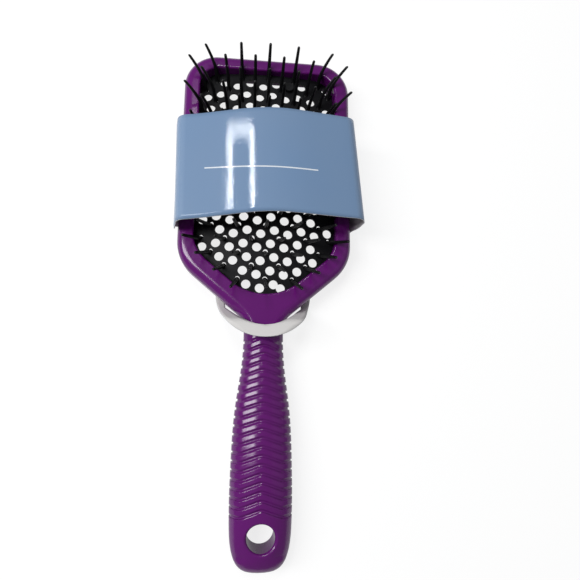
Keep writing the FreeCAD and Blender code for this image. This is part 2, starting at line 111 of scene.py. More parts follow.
def moulded_skin():
    """Faint colour clouds and a fine grain, as on any moulded plastic."""
    tree, given, result = new_group(
        "moulded_skin", "ShaderNodeTree",
        [("Colour", "Color"), ("Cloud Colour", "Color"), ("Cloud Scale", "Float"),
         ("Grain Scale", "Float"), ("Roughness", "Float"), ("Roughness Spread", "Float")],
        [("Colour", "Color"), ("Roughness", "Float"), ("Height", "Float")])
    place = own_place(tree)
    cloud = noise(tree, place, given.outputs["Cloud Scale"], detail=3.0, rough=0.55)
    grain = noise(tree, place, given.outputs["Grain Scale"], detail=2.0, rough=0.6)
    offset = calculate(tree, "SUBTRACT", grain, 0.5)
    set_inputs(tree, result, {
        "Colour": mix_colours(tree, cloud, given.outputs["Colour"], given.outputs["Cloud Colour"]),
        "Roughness": calculate(tree, "MULTIPLY_ADD", offset, given.outputs["Roughness Spread"],
                               given.outputs["Roughness"], use_clamp=True),
        "Height": grain})
    return tree


MOULDED_SKIN = moulded_skin()


def moulded_plastic(name, colour, cloud_colour, cloud_scale, grain_scale, rough, spread, relief,
                    ior, specular):
    """A plastic with the moulded skin. Relief is the depth of the grain in metres."""
    material, tree, shader = new_material(name)
    skin = add_node(tree, "ShaderNodeGroup", {
        "Colour": colour, "Cloud Colour": cloud_colour, "Cloud Scale": cloud_scale,
        "Grain Scale": grain_scale, "Roughness": rough, "Roughness Spread": spread},
        node_tree=MOULDED_SKIN)
    set_inputs(tree, shader, {
        "Base Color": skin.outputs["Colour"], "Roughness": skin.outputs["Roughness"],
        "Normal": bumped(tree, skin.outputs["Height"], relief).outputs["Normal"],
        "IOR": ior, "Specular IOR Level": specular})
    return material


# The grooves are cut in the moulding. This shading rounds their bottoms and softens their lips.
GROOVE_START, GROOVE_PITCH, GROOVE_COUNT = 0.0079, 0.003575, 21
GROOVE_SOFT, GROOVE_RELIEF = 0.33, 0.00040
WAVE_CREST, WAVE_FOOT, WAVE_BLUNT = (0.0038, 0.0026), (0.0090, 0.0064), 0.0010


def round_the_grooves(material):
    """Shades each groove of the grip as a round-bottomed wave with soft lips."""
    tree = material.node_tree
    shader = tree.nodes["Principled BSDF"]
    place = add_node(tree, "ShaderNodeAttribute", attribute_name="mould_place")
    split = add_node(tree, "ShaderNodeSeparateXYZ", {"Vector": place.outputs["Vector"]})
    aside, ahead = split.outputs["X"], split.outputs["Y"]
    last_groove = GROOVE_START + GROOVE_PITCH * (GROOVE_COUNT - 1)

    def from_first_to_last(y, at_first, at_last, clamp=True):
        """A value that changes evenly from the first groove to the last."""
        return add_node(tree, "ShaderNodeMapRange", {
            "Value": y, "From Min": GROOVE_START, "From Max": last_groove,
            "To Min": at_first, "To Max": at_last}, clamp=clamp).outputs[0]

    crest = from_first_to_last(ahead, *WAVE_CREST)
    foot = from_first_to_last(ahead, *WAVE_FOOT)
    corner = add_node(tree, "ShaderNodeCombineXYZ", {"X": aside, "Y": WAVE_BLUNT})
    blunt = add_node(tree, "ShaderNodeVectorMath", {0: corner.outputs[0]}, operation="LENGTH")
    fall = calculate(tree, "MULTIPLY", calculate(tree, "DIVIDE", crest, foot), blunt.outputs["Value"])
    wave = calculate(tree, "MAXIMUM", calculate(tree, "SUBTRACT", crest, fall), 0.0)
    count = from_first_to_last(
        calculate(tree, "SUBTRACT", ahead, wave), 0.0, GROOVE_COUNT - 1.0, clamp=False)
    rise = add_node(tree, "ShaderNodeMapRange", {
        "Value": calculate(tree, "PINGPONG", count, 0.5), "From Max": GROOVE_SOFT, "To Max": 1.0},
        interpolation_type="SMOOTHSTEP")
    grooved = calculate(tree, "COMPARE", count, (GROOVE_COUNT - 1) / 2, GROOVE_COUNT / 2)
    height = add_node(tree, "ShaderNodeMix", {
        "Factor": grooved, "A": 1.0, "B": rise.outputs[0]}, data_type="FLOAT")
    waves = bumped(tree, height.outputs["Result"], GROOVE_RELIEF)
    set_inputs(tree, waves, {"Normal": shader.inputs["Normal"].links[0].from_socket})
    set_inputs(tree, shader, {"Normal": waves.outputs["Normal"]})


# The moulding is shown fuller than its solid: the grip swells, and the end is broad and blunt round
# a hang hole that keeps its form.
BULGE_Y, END_Y, BULGE_HALF = 0.0126, -0.0148, 0.01325
SOLID_POWER, FULL_POWER = 2.4, 3.5
END_SHARE_LIMIT = 0.9995
HOLE_KEEP, HOLE_BLEND = 0.0073, 0.003
GRIP_SWELL, GRIP_MIDDLE_Y = 0.187, 0.051
GRIP_SPREAD_LOW, GRIP_SPREAD_HIGH = 0.0222, 0.0187
GRIP_FADE_Y = (0.070, 0.092)
SLOPE_STEP = 0.00002
MOULDING_MERGE = 0.000001


def smooth_step(value, low, high):
    share = min(max((value - low) / (high - low), 0), 1)
    return share * share * (3 - 2 * share)


def grip_ratio(y):
    """How much wider the grip is than its solid."""
    spread = GRIP_SPREAD_LOW if y < GRIP_MIDDLE_Y else GRIP_SPREAD_HIGH
    swell = GRIP_SWELL * math.exp(-((y - GRIP_MIDDLE_Y) / spread) ** 2)
    return 1 + swell * (1 - smooth_step(y, *GRIP_FADE_Y))


def end_half_width(y, power):
    share = min((BULGE_Y - y) / (BULGE_Y - END_Y), END_SHARE_LIMIT)
    return BULGE_HALF * (1 - share ** power) ** (1 / power)


def filled_out(x, y):
    """The x of a point once the grip is full and the handle's end broad and blunt."""
    if y >= BULGE_Y:
        return x * grip_ratio(y)
    solid, full = end_half_width(y, SOLID_POWER), end_half_width(y, FULL_POWER)
    out = abs(x)
    whole = out * full / solid
    share = min(max((-HOLE_KEEP - y) / HOLE_BLEND, 0), 1)
    if share < 1:
        past = max(out - HOLE_KEEP, 0)
        beside = min(out, HOLE_KEEP) + past * (full - HOLE_KEEP) / (solid - HOLE_KEEP)
        whole = beside + (whole - beside) * smooth_step(share, 0, 1)
    return math.copysign(whole * grip_ratio(y), x)


def filled_normal(place, normal):
    """The normal of a point after it is filled out, from the slopes of the change."""
    x, y, step = place.x, place.y, SLOPE_STEP
    across = (filled_out(x + step, y) - filled_out(x - step, y)) / (2 * step)
    ahead = (filled_out(x, y + step) - filled_out(x, y - step)) / (2 * step)
    return Vector((normal.x / across, normal.y - normal.x * ahead / across, normal.z)).normalized()


def full_moulding():
    """A copy of the solid's mesh, filled out, with the solid's smooth shading carried along."""
    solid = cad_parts["handle_frame"].data
    form = bmesh.new()
    form.from_mesh(solid)
    normal_layer = form.loops.layers.float_vector.new("skin_normal")
    loops = [loop for face in form.faces for loop in face.loops]
    for loop, corner in zip(loops, solid.corner_normals):
        place = loop.vert.co
        changed = place.y < GRIP_FADE_Y[1]
        loop[normal_layer] = filled_normal(place, corner.vector) if changed else corner.vector
    bmesh.ops.remove_doubles(form, verts=form.verts, dist=MOULDING_MERGE)
    place_layer = form.verts.layers.float_vector.new("mould_place")
    for vert in form.verts:
        vert[place_layer] = vert.co
        vert.co.x = filled_out(vert.co.x, vert.co.y)
    for face in form.faces:
        face.smooth = True
    mesh = bpy.data.meshes.new("handle_moulding")
    form.to_mesh(mesh)
    form.free()
    normals = [item.vector.copy() for item in mesh.attributes["skin_normal"].data]
    mesh.normals_split_custom_set(normals)
    mesh.attributes.remove(mesh.attributes["skin_normal"])
    return mesh


def shown(name, mesh):
    piece = bpy.data.objects.new(name, mesh)
    bpy.context.scene.collection.objects.link(piece)
    return piece


purple_plastic = moulded_plastic(
    "purple_gloss_plastic", PURPLE, PURPLE_CLOUD, cloud_scale=22.0, grain_scale=900.0,
    rough=0.17, spread=0.08, relief=0.000010, ior=1.49, specular=0.5)
round_the_grooves(purple_plastic)
moulding_mesh = full_moulding()
moulding_mesh.materials.clear()
moulding_mesh.materials.append(purple_plastic)
handle = shown("handle_moulding", moulding_mesh)
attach(handle, "brush")
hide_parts("handle_frame")


# Vented pad: a thin domed plate in black nylon, moulded with its round vents and snapped into the
# ring from behind. Its skin is satin, with a fine even grain, and its form is the solid's.
PAD_BLACK, PAD_CLOUD = (0.0036, 0.0037, 0.0046, 1), (0.0065, 0.0066, 0.0080, 1)
pad_nylon = moulded_plastic(
    "black_pad_nylon", PAD_BLACK, PAD_CLOUD, cloud_scale=60.0, grain_scale=1800.0,
    rough=0.52, spread=0.16, relief=0.00002, ior=1.53, specular=0.16)
pad_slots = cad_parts["vent_pad"].data.materials
pad_slots.clear()
pad_slots.append(pad_nylon)


# Pins: tapered black nylon bristles with rounded tips. Each is pushed through the pad from behind
# until its flat head stops it, so no two stand at quite the same angle. Handling has bent the
# outermost ones at the top of the head outwards.
PIN_BLACK, PIN_CLOUD = (0.0022, 0.0022, 0.0028, 1), (0.0042, 0.0042, 0.0050, 1)
PIN_HEAD_RADIUS, PIN_HEAD_THICK = 0.0012, 0.0007
PIN_HEAD_BEVEL_LOW, PIN_HEAD_BEVEL_HIGH = 0.00015, 0.0001
PIN_ROOT_RADIUS, PIN_TIP_RADIUS = 0.0010, 0.00065
PIN_REACH = 0.01965
PIN_SIDES = 12
SHANK_STEPS, TIP_STEPS = 8, 4
LEAN_WOBBLE, WOBBLE_SEED = 0.012, 7
TIP_BEND, BEND_FROM, BEND_POWER = 0.0046, 0.0075, 1.4
BENT_X, BENT_Y = (0.016, 0.028), (0.174, 0.188)
ROW_MERGE, FOOT_SLICE, CROWN_SLICE, AXIS_PASSES = 0.00001, 0.00005, 0.00030, 3


def pin_form():
    """One pin standing on the origin: head, tapered shank and ball tip, turned about Z."""
    taper_top = PIN_REACH - PIN_TIP_RADIUS
    rings = [(0.0, PIN_HEAD_RADIUS - PIN_HEAD_BEVEL_LOW), (PIN_HEAD_BEVEL_LOW, PIN_HEAD_RADIUS),
             (PIN_HEAD_THICK - PIN_HEAD_BEVEL_HIGH, PIN_HEAD_RADIUS),
             (PIN_HEAD_THICK, PIN_HEAD_RADIUS - PIN_HEAD_BEVEL_HIGH), (PIN_HEAD_THICK, PIN_ROOT_RADIUS)]
    for step in range(1, SHANK_STEPS + 1):
        share = step / SHANK_STEPS
        rings.append((PIN_HEAD_THICK + (taper_top - PIN_HEAD_THICK) * share,
                      PIN_ROOT_RADIUS + (PIN_TIP_RADIUS - PIN_ROOT_RADIUS) * share))
    for step in range(1, TIP_STEPS):
        turn = math.pi / 2 * step / TIP_STEPS
        rings.append((taper_top + PIN_TIP_RADIUS * math.sin(turn), PIN_TIP_RADIUS * math.cos(turn)))
    form = bmesh.new()
    turns = [2 * math.pi * side / PIN_SIDES for side in range(PIN_SIDES)]
    loops = [[form.verts.new((radius * math.cos(turn), radius * math.sin(turn), height)) for turn in turns]
             for height, radius in rings]
    top = form.verts.new((0, 0, PIN_REACH))
    form.faces.new(loops[0][::-1])
    for low, high in zip(loops, loops[1:]):
        for side in range(PIN_SIDES):
            after = (side + 1) % PIN_SIDES
            form.faces.new((low[side], low[after], high[after], high[side]))
    for side in range(PIN_SIDES):
        form.faces.new((loops[-1][side], loops[-1][(side + 1) % PIN_SIDES], top))
    for face in form.faces:
        face.smooth = len(face.verts) < PIN_SIDES
    mesh = bpy.data.meshes.new("pin_form")
    form.to_mesh(mesh)
    form.free()
    return bpy.data.objects.new("pin_form", mesh)


def pins_of(node_name):
    """Foot and leaning direction of each pin in one row of the solids."""
    row = bmesh.new()
    row.from_mesh(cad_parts[node_name].data)
    bmesh.ops.remove_doubles(row, verts=row.verts, dist=ROW_MERGE)
    waiting = set(row.verts)
    pins = []
    for start in row.verts:
        if start not in waiting:
            continue
        waiting.discard(start)
        island, edge = [], [start]
        while edge:
            vert = edge.pop()
            island.append(vert.co)
            for link in vert.link_edges:
                other = link.other_vert(vert)
                if other in waiting:
                    waiting.discard(other)
                    edge.append(other)
        tip = max(island, key=lambda place: place.z)
        low = min(island, key=lambda place: place.z)
        axis = (tip - low).normalized()
        for _ in range(AXIS_PASSES):
            reach = [place.dot(axis) for place in island]
            foot = [place for place, r in zip(island, reach) if r < min(reach) + FOOT_SLICE]
            crown = [place for place, r in zip(island, reach) if r > max(reach) - CROWN_SLICE]
            foot_mid = sum(foot, Vector()) / len(foot)
            axis = (sum(crown, Vector()) / len(crown) - foot_mid).normalized()
        pins.append((foot_mid, axis))
    row.free()
    return pins


def tip_shift(foot):
    """How far the tip of the pin on this foot is bent to its own side."""
    bent = smooth_step(abs(foot.x), *BENT_X) * smooth_step(foot.y, *BENT_Y)
    return math.copysign(TIP_BEND, foot.x) * bent


def planting_tree():
    """Sets one pin on each point, along its lean, with a small fixed disorder."""
    tree, given, result = new_group(
        "pin_planting", "GeometryNodeTree",
        [("Feet", "Geometry"), ("Pin", "Object"), ("Lean Wobble", "Float"), ("Seed", "Int"),
         ("Nylon", "Material")], [("Pins", "Geometry")])
    lean = add_node(tree, "GeometryNodeInputNamedAttribute", {"Name": "lean"}, data_type="FLOAT_VECTOR")
    chance = add_node(tree, "FunctionNodeRandomValue", {
        0: (-1, -1, -1), 1: (1, 1, 1), "Seed": given.outputs["Seed"]}, data_type="FLOAT_VECTOR")
    wobble = add_node(tree, "ShaderNodeVectorMath", {
        0: chance.outputs[0], "Scale": given.outputs["Lean Wobble"]}, operation="SCALE")
    direction = add_node(tree, "ShaderNodeVectorMath", {
        0: lean.outputs["Attribute"], 1: wobble.outputs[0]}, operation="ADD")
    turn = add_node(tree, "FunctionNodeAlignRotationToVector", {"Vector": direction.outputs[0]}, axis="Z")
    form = add_node(tree, "GeometryNodeObjectInfo", {"Object": given.outputs["Pin"]})
    planted = add_node(tree, "GeometryNodeInstanceOnPoints", {
        "Points": given.outputs["Feet"], "Instance": form.outputs["Geometry"],
        "Rotation": turn.outputs["Rotation"]})
    real = add_node(tree, "GeometryNodeRealizeInstances", {"Geometry": planted.outputs["Instances"]})
    painted = add_node(tree, "GeometryNodeSetMaterial", {
        "Geometry": real.outputs["Geometry"], "Material": given.outputs["Nylon"]})
    set_inputs(tree, result, {"Pins": painted.outputs["Geometry"]})
    return tree


pin_nylon = moulded_plastic(
    "black_pin_nylon", PIN_BLACK, PIN_CLOUD, cloud_scale=140.0, grain_scale=2600.0,
    rough=0.40, spread=0.14, relief=0.00001, ior=1.53, specular=0.30)
pin_rows = sorted(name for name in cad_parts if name.startswith("pin_row_"))
planted_pins = [pin for row in pin_rows for pin in pins_of(row)]
feet = bpy.data.meshes.new("pin_feet")
feet.from_pydata([foot for foot, lean in planted_pins], [], [])
lean_attribute = feet.attributes.new("lean", "FLOAT_VECTOR", "POINT")
lean_attribute.data.foreach_set("vector", [part for foot, lean in planted_pins for part in lean])
planting = shown("planting", feet)
pin_pattern = pin_form()
modifier = planting.modifiers.new("planting", "NODES")
modifier.node_group = planting_tree()
for socket, value in (("Pin", pin_pattern), ("Lean Wobble", LEAN_WOBBLE), ("Seed", WOBBLE_SEED),
                      ("Nylon", pin_nylon)):
    modifier[modifier.node_group.interface.items_tree[socket].identifier] = value
planted = planting.evaluated_get(bpy.context.evaluated_depsgraph_get())
pins = shown("pins", bpy.data.meshes.new_from_object(planted))
pins.data.name = "pins"
for index, vert in enumerate(pins.data.vertices):
    foot, lean = planted_pins[index // len(pin_pattern.data.vertices)]
    rise = max((vert.co - foot).dot(lean) - BEND_FROM, 0) / (PIN_REACH - BEND_FROM)
    vert.co.x += tip_shift(foot) * rise ** BEND_POWER
bpy.data.objects.remove(planting)
bpy.data.objects.remove(pin_pattern)
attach(pins, "brush")
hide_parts(*pin_rows)


# Card sleeve: one die-cut blank of half-millimetre coated card, printed blue and varnished outside and
# bare inside. It is folded into a band round the head, and its worn front has slipped a little. Two legs
# run behind the ring, beside a window, and meet in a round end that comes forward over the neck.
CARD_THICK = 0.0005
CARD_BACK_Z = -0.0089
BAND_LOW_Y, BAND_HIGH_Y = 0.1346, 0.1818
BAND_LEFT_X, BAND_RIGHT_X = -0.0436, 0.0422
LEFT_FOLD_X, RIGHT_FOLD_X = (-0.0402, -0.0414), (0.0438, 0.0396)
LEFT_FOLD_Z, RIGHT_FOLD_Z = 0.011, 0.014
SHOULDER_INSET, SHOULDER_Z = 0.0018, 0.0198
APEX_Z = 0.0247
FOLD_RADIUS, SHOULDER_RADIUS, BULGE_RADIUS = 0.0014, 0.005, 0.150
FOLD_STEPS, SHOULDER_STEPS, BULGE_STEPS = 5, 8, 18
FOLD_WEAR, SHOULDER_WEAR = 1, 0.2
SIDE_STEPS = (None, 8, 3, 6, 6, 3, 7)
BAND_STEPS = 24
DROOP_ALL, DROOP_LEFT, DROOP_RIGHT = 0.0010, 0.0046, 0.0008
DROOP_X, DROOP_Z = (-0.008, 0.042), (CARD_BACK_Z, 0.008)
PRINT_SLIP = 0.6

TONGUE_HALF, TONGUE_ROUND = 0.0225, 0.022
TONGUE_END_Y, TONGUE_END_Z, TONGUE_OVERRUN = 0.0814, 0.0126, 0.002
TONGUE_BEND_Y, TONGUE_KNEE_Y, TONGUE_KNEE_Z = 0.096, 0.0885, 0.0102
BEND_RADIUS, KNEE_RADIUS, BEND_STEPS = 0.009, 0.004, 6
LEG_HALF, LEG_LOW_Y, LEG_WIDTH = 0.039, 0.1195, 0.0055
LEG_SLOPE = math.radians(40)
LEG_STEPS, BACK_STEPS = 4, 6
WINDOW_LOW_Y, WINDOW_LOW_RADIUS = 0.0866, 0.0198
WINDOW_WAIST_HALF, WINDOW_FOOT_HALF, WINDOW_HALF = 0.0176, 0.019, 0.0335
WINDOW_HIGH_Y = 0.146
STRAIGHT_ROWS, BEND_ROWS, NEAREST_ROWS = 12, 16, 0.00005
WINDOW_TURNS, END_TURNS = range(3, 40, 3), range(5, 40, 5)
SAME_PLACE, CARD_MERGE = 0.00001, 0.00002
TONGUE_PRINT_X = 1.0

LEG_KNEE_Y = LEG_LOW_Y - (LEG_HALF - TONGUE_HALF) * math.tan(LEG_SLOPE)
LEG_INSIDE_Y = LEG_LOW_Y - LEG_HALF * math.tan(LEG_SLOPE) + LEG_WIDTH / math.cos(LEG_SLOPE)
ARC_END_Y = WINDOW_LOW_Y + WINDOW_LOW_RADIUS * (1 - math.cos(LEG_SLOPE))
ARC_END_X = WINDOW_LOW_RADIUS * math.sin(LEG_SLOPE)
WAIST_Y = ARC_END_Y + (WINDOW_WAIST_HALF - ARC_END_X) * math.tan(LEG_SLOPE)
OUTSIDE = [(LEG_KNEE_Y, TONGUE_HALF), (LEG_LOW_Y, LEG_HALF), (BAND_LOW_Y, LEG_HALF)]
INSIDE = [(ARC_END_Y, ARC_END_X), (WAIST_Y, WINDOW_WAIST_HALF),
          (LEG_INSIDE_Y + WINDOW_FOOT_HALF * math.tan(LEG_SLOPE), WINDOW_FOOT_HALF),
          (LEG_INSIDE_Y + WINDOW_HALF * math.tan(LEG_SLOPE), WINDOW_HALF), (BAND_LOW_Y, WINDOW_HALF)]
BACK_X = [WINDOW_HALF * step / BACK_STEPS for step in range(BACK_STEPS)]
BACK_X += [WINDOW_HALF + (LEG_HALF - WINDOW_HALF) * step / LEG_STEPS for step in range(LEG_STEPS + 1)]


def rounded_corner(before, corner, after, radius, steps):
    """Points along the arc that rounds one corner of a fold line."""
    back, ahead = (before - corner).normalized(), (after - corner).normalized()
    half = back.angle(ahead) / 2
    start = corner + back * (radius / math.tan(half))
    end = corner + ahead * (radius / math.tan(half))
    middle = corner + (back + ahead).normalized() * (radius / math.sin(half))
    first, last = start - middle, end - middle
    sweep = first.angle(last)
    points = []
    for step in range(steps + 1):
        share = step / steps
        points.append(middle + (first * math.sin((1 - share) * sweep) + last * math.sin(share * sweep))
                      / math.sin(sweep))
    return points


def along(points, y):
    """The x at y on a line of (y, x) points."""
    for (low_y, low_x), (high_y, high_x) in zip(points, points[1:]):
        if low_y <= y <= high_y:
            return low_x + (high_x - low_x) * (y - low_y) / (high_y - low_y)
    return points[-1][1]


def window_half_width(y):
    if y <= WINDOW_LOW_Y:
        return 0.0
    if y < ARC_END_Y:
        return math.sqrt(WINDOW_LOW_RADIUS ** 2 - (WINDOW_LOW_Y + WINDOW_LOW_RADIUS - y) ** 2)
    return along(INSIDE, y)


def tongue_half_width(y):
    drop = TONGUE_END_Y + TONGUE_ROUND - y
    if drop <= 0:
        return along(OUTSIDE, max(y, LEG_KNEE_Y))
    return TONGUE_HALF - TONGUE_ROUND + math.sqrt(max(TONGUE_ROUND ** 2 - drop ** 2, 0))


def band_ring(share):
    """Outside of the band at a share of its width: a list of (x, z, wear) round the head."""
    left = LEFT_FOLD_X[0] + (LEFT_FOLD_X[1] - LEFT_FOLD_X[0]) * share
    right = RIGHT_FOLD_X[0] + (RIGHT_FOLD_X[1] - RIGHT_FOLD_X[0]) * share
    fold = (FOLD_RADIUS, FOLD_STEPS, FOLD_WEAR)
    shoulder = (SHOULDER_RADIUS, SHOULDER_STEPS, SHOULDER_WEAR)
    bulge = (BULGE_RADIUS, BULGE_STEPS, 0)
    corners = [((BAND_LEFT_X, CARD_BACK_Z), fold), ((BAND_RIGHT_X, CARD_BACK_Z), fold),
               ((right, RIGHT_FOLD_Z), fold), ((right - SHOULDER_INSET, SHOULDER_Z), shoulder),
               (((left + right) / 2, APEX_Z), bulge), ((left + SHOULDER_INSET, SHOULDER_Z), shoulder),
               ((left, LEFT_FOLD_Z), fold)]
    places = [Vector(place) for place, form in corners]
    arcs = []
    for index, (place, (radius, steps, wear)) in enumerate(corners):
        points = rounded_corner(places[index - 1], places[index], places[(index + 1) % len(places)],
                                radius, steps)
        arcs.append([(point.x, point.y, wear * math.sin(math.pi * step / steps))
                     for step, point in enumerate(points)])
    ring = []
    for index, arc in enumerate(arcs):
        ring.extend(arc)
        if index == 0:
            ring.extend((x, CARD_BACK_Z, 0.0) for x in [-x for x in BACK_X[:0:-1]] + BACK_X)
            continue
        x0, z0 = arc[-1][:2]
        x1, z1 = arcs[(index + 1) % len(arcs)][0][:2]
        for step in range(1, SIDE_STEPS[index]):
            part = step / SIDE_STEPS[index]
            ring.append((x0 + (x1 - x0) * part, z0 + (z1 - z0) * part, 0.0))
    return ring


def droop(x, z):
    """How far the front of the worn band has slipped towards the handle."""
    slip = DROOP_ALL + DROOP_LEFT * smooth_step(-x, *DROOP_X) + DROOP_RIGHT * smooth_step(x, *DROOP_X)
    return slip * smooth_step(z, *DROOP_Z)


def tongue_rows():
    """The tongue's outer face from the band to its round end: a list of (y, z)."""
    route = [Vector((BAND_LOW_Y, CARD_BACK_Z)), Vector((TONGUE_BEND_Y, CARD_BACK_Z)),
             Vector((TONGUE_KNEE_Y, TONGUE_KNEE_Z)), Vector((TONGUE_END_Y - TONGUE_OVERRUN, TONGUE_END_Z))]
    line = [route[0]] + rounded_corner(route[0], route[1], route[2], BEND_RADIUS, BEND_STEPS)
    line += rounded_corner(route[1], route[2], route[3], KNEE_RADIUS, BEND_STEPS) + [route[3]]

    def evenly(first_y, last_y, steps):
        return {first_y + (last_y - first_y) * step / steps for step in range(steps + 1)}

    def round_the_arc(low_y, radius, turns):
        return {low_y + radius * (1 - math.cos(math.radians(turn))) for turn in turns}

    wanted = {BAND_LOW_Y, WINDOW_LOW_Y, TONGUE_END_Y, LEG_KNEE_Y}
    wanted |= {point.x for point in line if point.x > TONGUE_END_Y} | {y for y, x in OUTSIDE + INSIDE}
    wanted |= evenly(BAND_LOW_Y, TONGUE_BEND_Y, STRAIGHT_ROWS)
    wanted |= round_the_arc(WINDOW_LOW_Y, WINDOW_LOW_RADIUS, WINDOW_TURNS)
    wanted |= round_the_arc(TONGUE_END_Y, TONGUE_ROUND, END_TURNS)
    wanted |= evenly(TONGUE_BEND_Y, TONGUE_KNEE_Y, BEND_ROWS)
    rows = []
    for y in sorted(wanted, reverse=True):
        if rows and rows[-1][0] - y < NEAREST_ROWS:
            continue
        for first, last in zip(line, line[1:]):
            if last.x <= y <= first.x:
                share = (first.x - y) / (first.x - last.x)
                rows.append((y, first.y + (last.y - first.y) * share))
                break
    return rows


def round_the_band(ring):
    """How far each point of a ring lies from the top of the band, round the shorter way, by side."""
    top = max(range(len(ring)), key=lambda index: ring[index].co.z)
    places = {}
    for side in (1, -1):
        walked, last = 0.0, ring[top]
        for count in range(len(ring)):
            vert = ring[(top + side * count) % len(ring)]
            walked += (vert.co - last.co).length
            last = vert
            if walked <= abs(places.get(vert, math.inf)):
                places[vert] = -side * walked
    return places


def in_window(vert):
    x, y, z = vert.co
    return (z < CARD_BACK_Z + SAME_PLACE and abs(x) < WINDOW_HALF + SAME_PLACE
            and y < WINDOW_HIGH_Y + SAME_PLACE)


def fold_band(card, crease_layer, print_layer):
    """Adds the band, with the wear of its folds and the place of its print."""
    rings, print_x, print_y = [], {}, {}
    window_share = (WINDOW_HIGH_Y - BAND_LOW_Y) / (BAND_HIGH_Y - BAND_LOW_Y)
    for share in sorted({step / BAND_STEPS for step in range(BAND_STEPS + 1)} | {window_share}):
        y = BAND_LOW_Y + (BAND_HIGH_Y - BAND_LOW_Y) * share
        ring = []
        for x, z, wear in band_ring(share):
            vert = card.verts.new((x, y - droop(x, z), z))
            vert[crease_layer] = wear
            print_y[vert] = y - PRINT_SLIP * droop(x, z) - BAND_LOW_Y
            ring.append(vert)
        print_x.update(round_the_band(ring))
        rings.append(ring)
    for low, high in zip(rings, rings[1:]):
        for index in range(len(low)):
            after = (index + 1) % len(low)
            corners = (low[index], low[after], high[after], high[index])
            if all(in_window(vert) for vert in corners):
                continue
            face = card.faces.new(corners)
            face.smooth = True
            for loop in face.loops:
                loop[print_layer].uv = (print_x[loop.vert], print_y[loop.vert])


def fold_tongue(card, print_layer):
    """Adds the two legs behind the ring and the round end over the neck."""
    rows = tongue_rows()
    for high_row, low_row in zip(rows, rows[1:]):
        for side in (-1, 1):
            edges = []
            for y, z in (high_row, low_row):
                inner, outer = window_half_width(y), tongue_half_width(y)
                edges.append([card.verts.new((side * (inner + (outer - inner) * step / LEG_STEPS), y, z))
                              for step in range(LEG_STEPS + 1)])
            high, low = edges
            for index in range(LEG_STEPS):
                corners = [high[index], high[index + 1], low[index + 1], low[index]]
                face = card.faces.new(corners if side > 0 else corners[::-1])
                face.smooth = True
                for loop in face.loops:
                    loop[print_layer].uv = (TONGUE_PRINT_X + loop.vert.co.x, loop.vert.co.y)


card = bmesh.new()
crease_layer = card.verts.layers.float.new("crease")
print_layer = card.loops.layers.uv.new("print")
fold_band(card, crease_layer, print_layer)
fold_tongue(card, print_layer)
bmesh.ops.remove_doubles(card, verts=card.verts, dist=CARD_MERGE)
loose = [vert for vert in card.verts if not vert.link_faces]
bmesh.ops.delete(card, geom=loose, context="VERTS")
bmesh.ops.dissolve_degenerate(card, edges=card.edges, dist=SAME_PLACE)
bmesh.ops.recalc_face_normals(card, faces=card.faces)
card_mesh = bpy.data.meshes.new("card_sleeve_sheet")
card.to_mesh(card_mesh)
card.free()
sleeve = shown("card_sleeve_sheet", card_mesh)
thicken = sleeve.modifiers.new("card_thickness", "SOLIDIFY")
thicken.thickness = CARD_THICK
thicken.offset = -1
thicken.use_even_offset = True
thicken.material_offset = 1
thicken.material_offset_rim = 2

PRINT_BLUE, PRINT_BLUE_PALE = (0.147, 0.250, 0.422, 1), (0.176, 0.266, 0.408, 1)
RULE_WHITE, WORN_BLUE = (0.72, 0.76, 0.80, 1), (0.50, 0.55, 0.62, 1)
RULE_MIDDLE, RULE_HALF_LENGTH = -0.0037, 0.0245
RULE_PLACE, RULE_HALF_WIDTH = 0.0190, 0.00028
BARE_CARD, BARE_CARD_DARK = (0.68, 0.665, 0.655, 1), (0.61, 0.595, 0.585, 1)
CUT_CARD_DARK, CUT_CARD = (0.58, 0.60, 0.62, 1), (0.76, 0.77, 0.78, 1)
ROUGH_SPREAD = 0.2
FIBRE_RELIEF, VARNISH_RELIEF, PULP_RELIEF = 0.00002, 0.000022, 0.00004


def printed_front():
    """Blue print with one thin white line, worn pale along the folds, under a clear varnish."""
    material, tree, shader = new_material("printed_card_front")
    place = own_place(tree)
    tint = mix_colours(tree, noise(tree, place, 26.0, detail=3.0), PRINT_BLUE, PRINT_BLUE_PALE)
    spot = add_node(tree, "ShaderNodeUVMap", uv_map="print")
    split = add_node(tree, "ShaderNodeSeparateXYZ", {"Vector": spot.outputs["UV"]})
    across = calculate(tree, "COMPARE", split.outputs["X"], RULE_MIDDLE, RULE_HALF_LENGTH)
    height = calculate(tree, "COMPARE", split.outputs["Y"], RULE_PLACE, RULE_HALF_WIDTH)
    ruled = mix_colours(tree, calculate(tree, "MULTIPLY", across, height), tint, RULE_WHITE)
    crease = add_node(tree, "ShaderNodeAttribute", attribute_name="crease")
    fibre = noise(tree, place, 1400.0, detail=3.0)
    worn = calculate(tree, "MULTIPLY", crease.outputs["Fac"], fibre)
    varnish = noise(tree, place, 850.0, detail=2.5)
    set_inputs(tree, shader, {
        "Base Color": mix_colours(tree, worn, ruled, WORN_BLUE),
        "Roughness": calculate(tree, "MULTIPLY_ADD", worn, ROUGH_SPREAD, 0.50),
        "Normal": bumped(tree, fibre, FIBRE_RELIEF).outputs["Normal"],
        "Coat Normal": bumped(tree, varnish, VARNISH_RELIEF).outputs["Normal"],
        "Specular IOR Level": 0.2, "Coat Weight": 0.5, "Coat Roughness": 0.05})
    return material


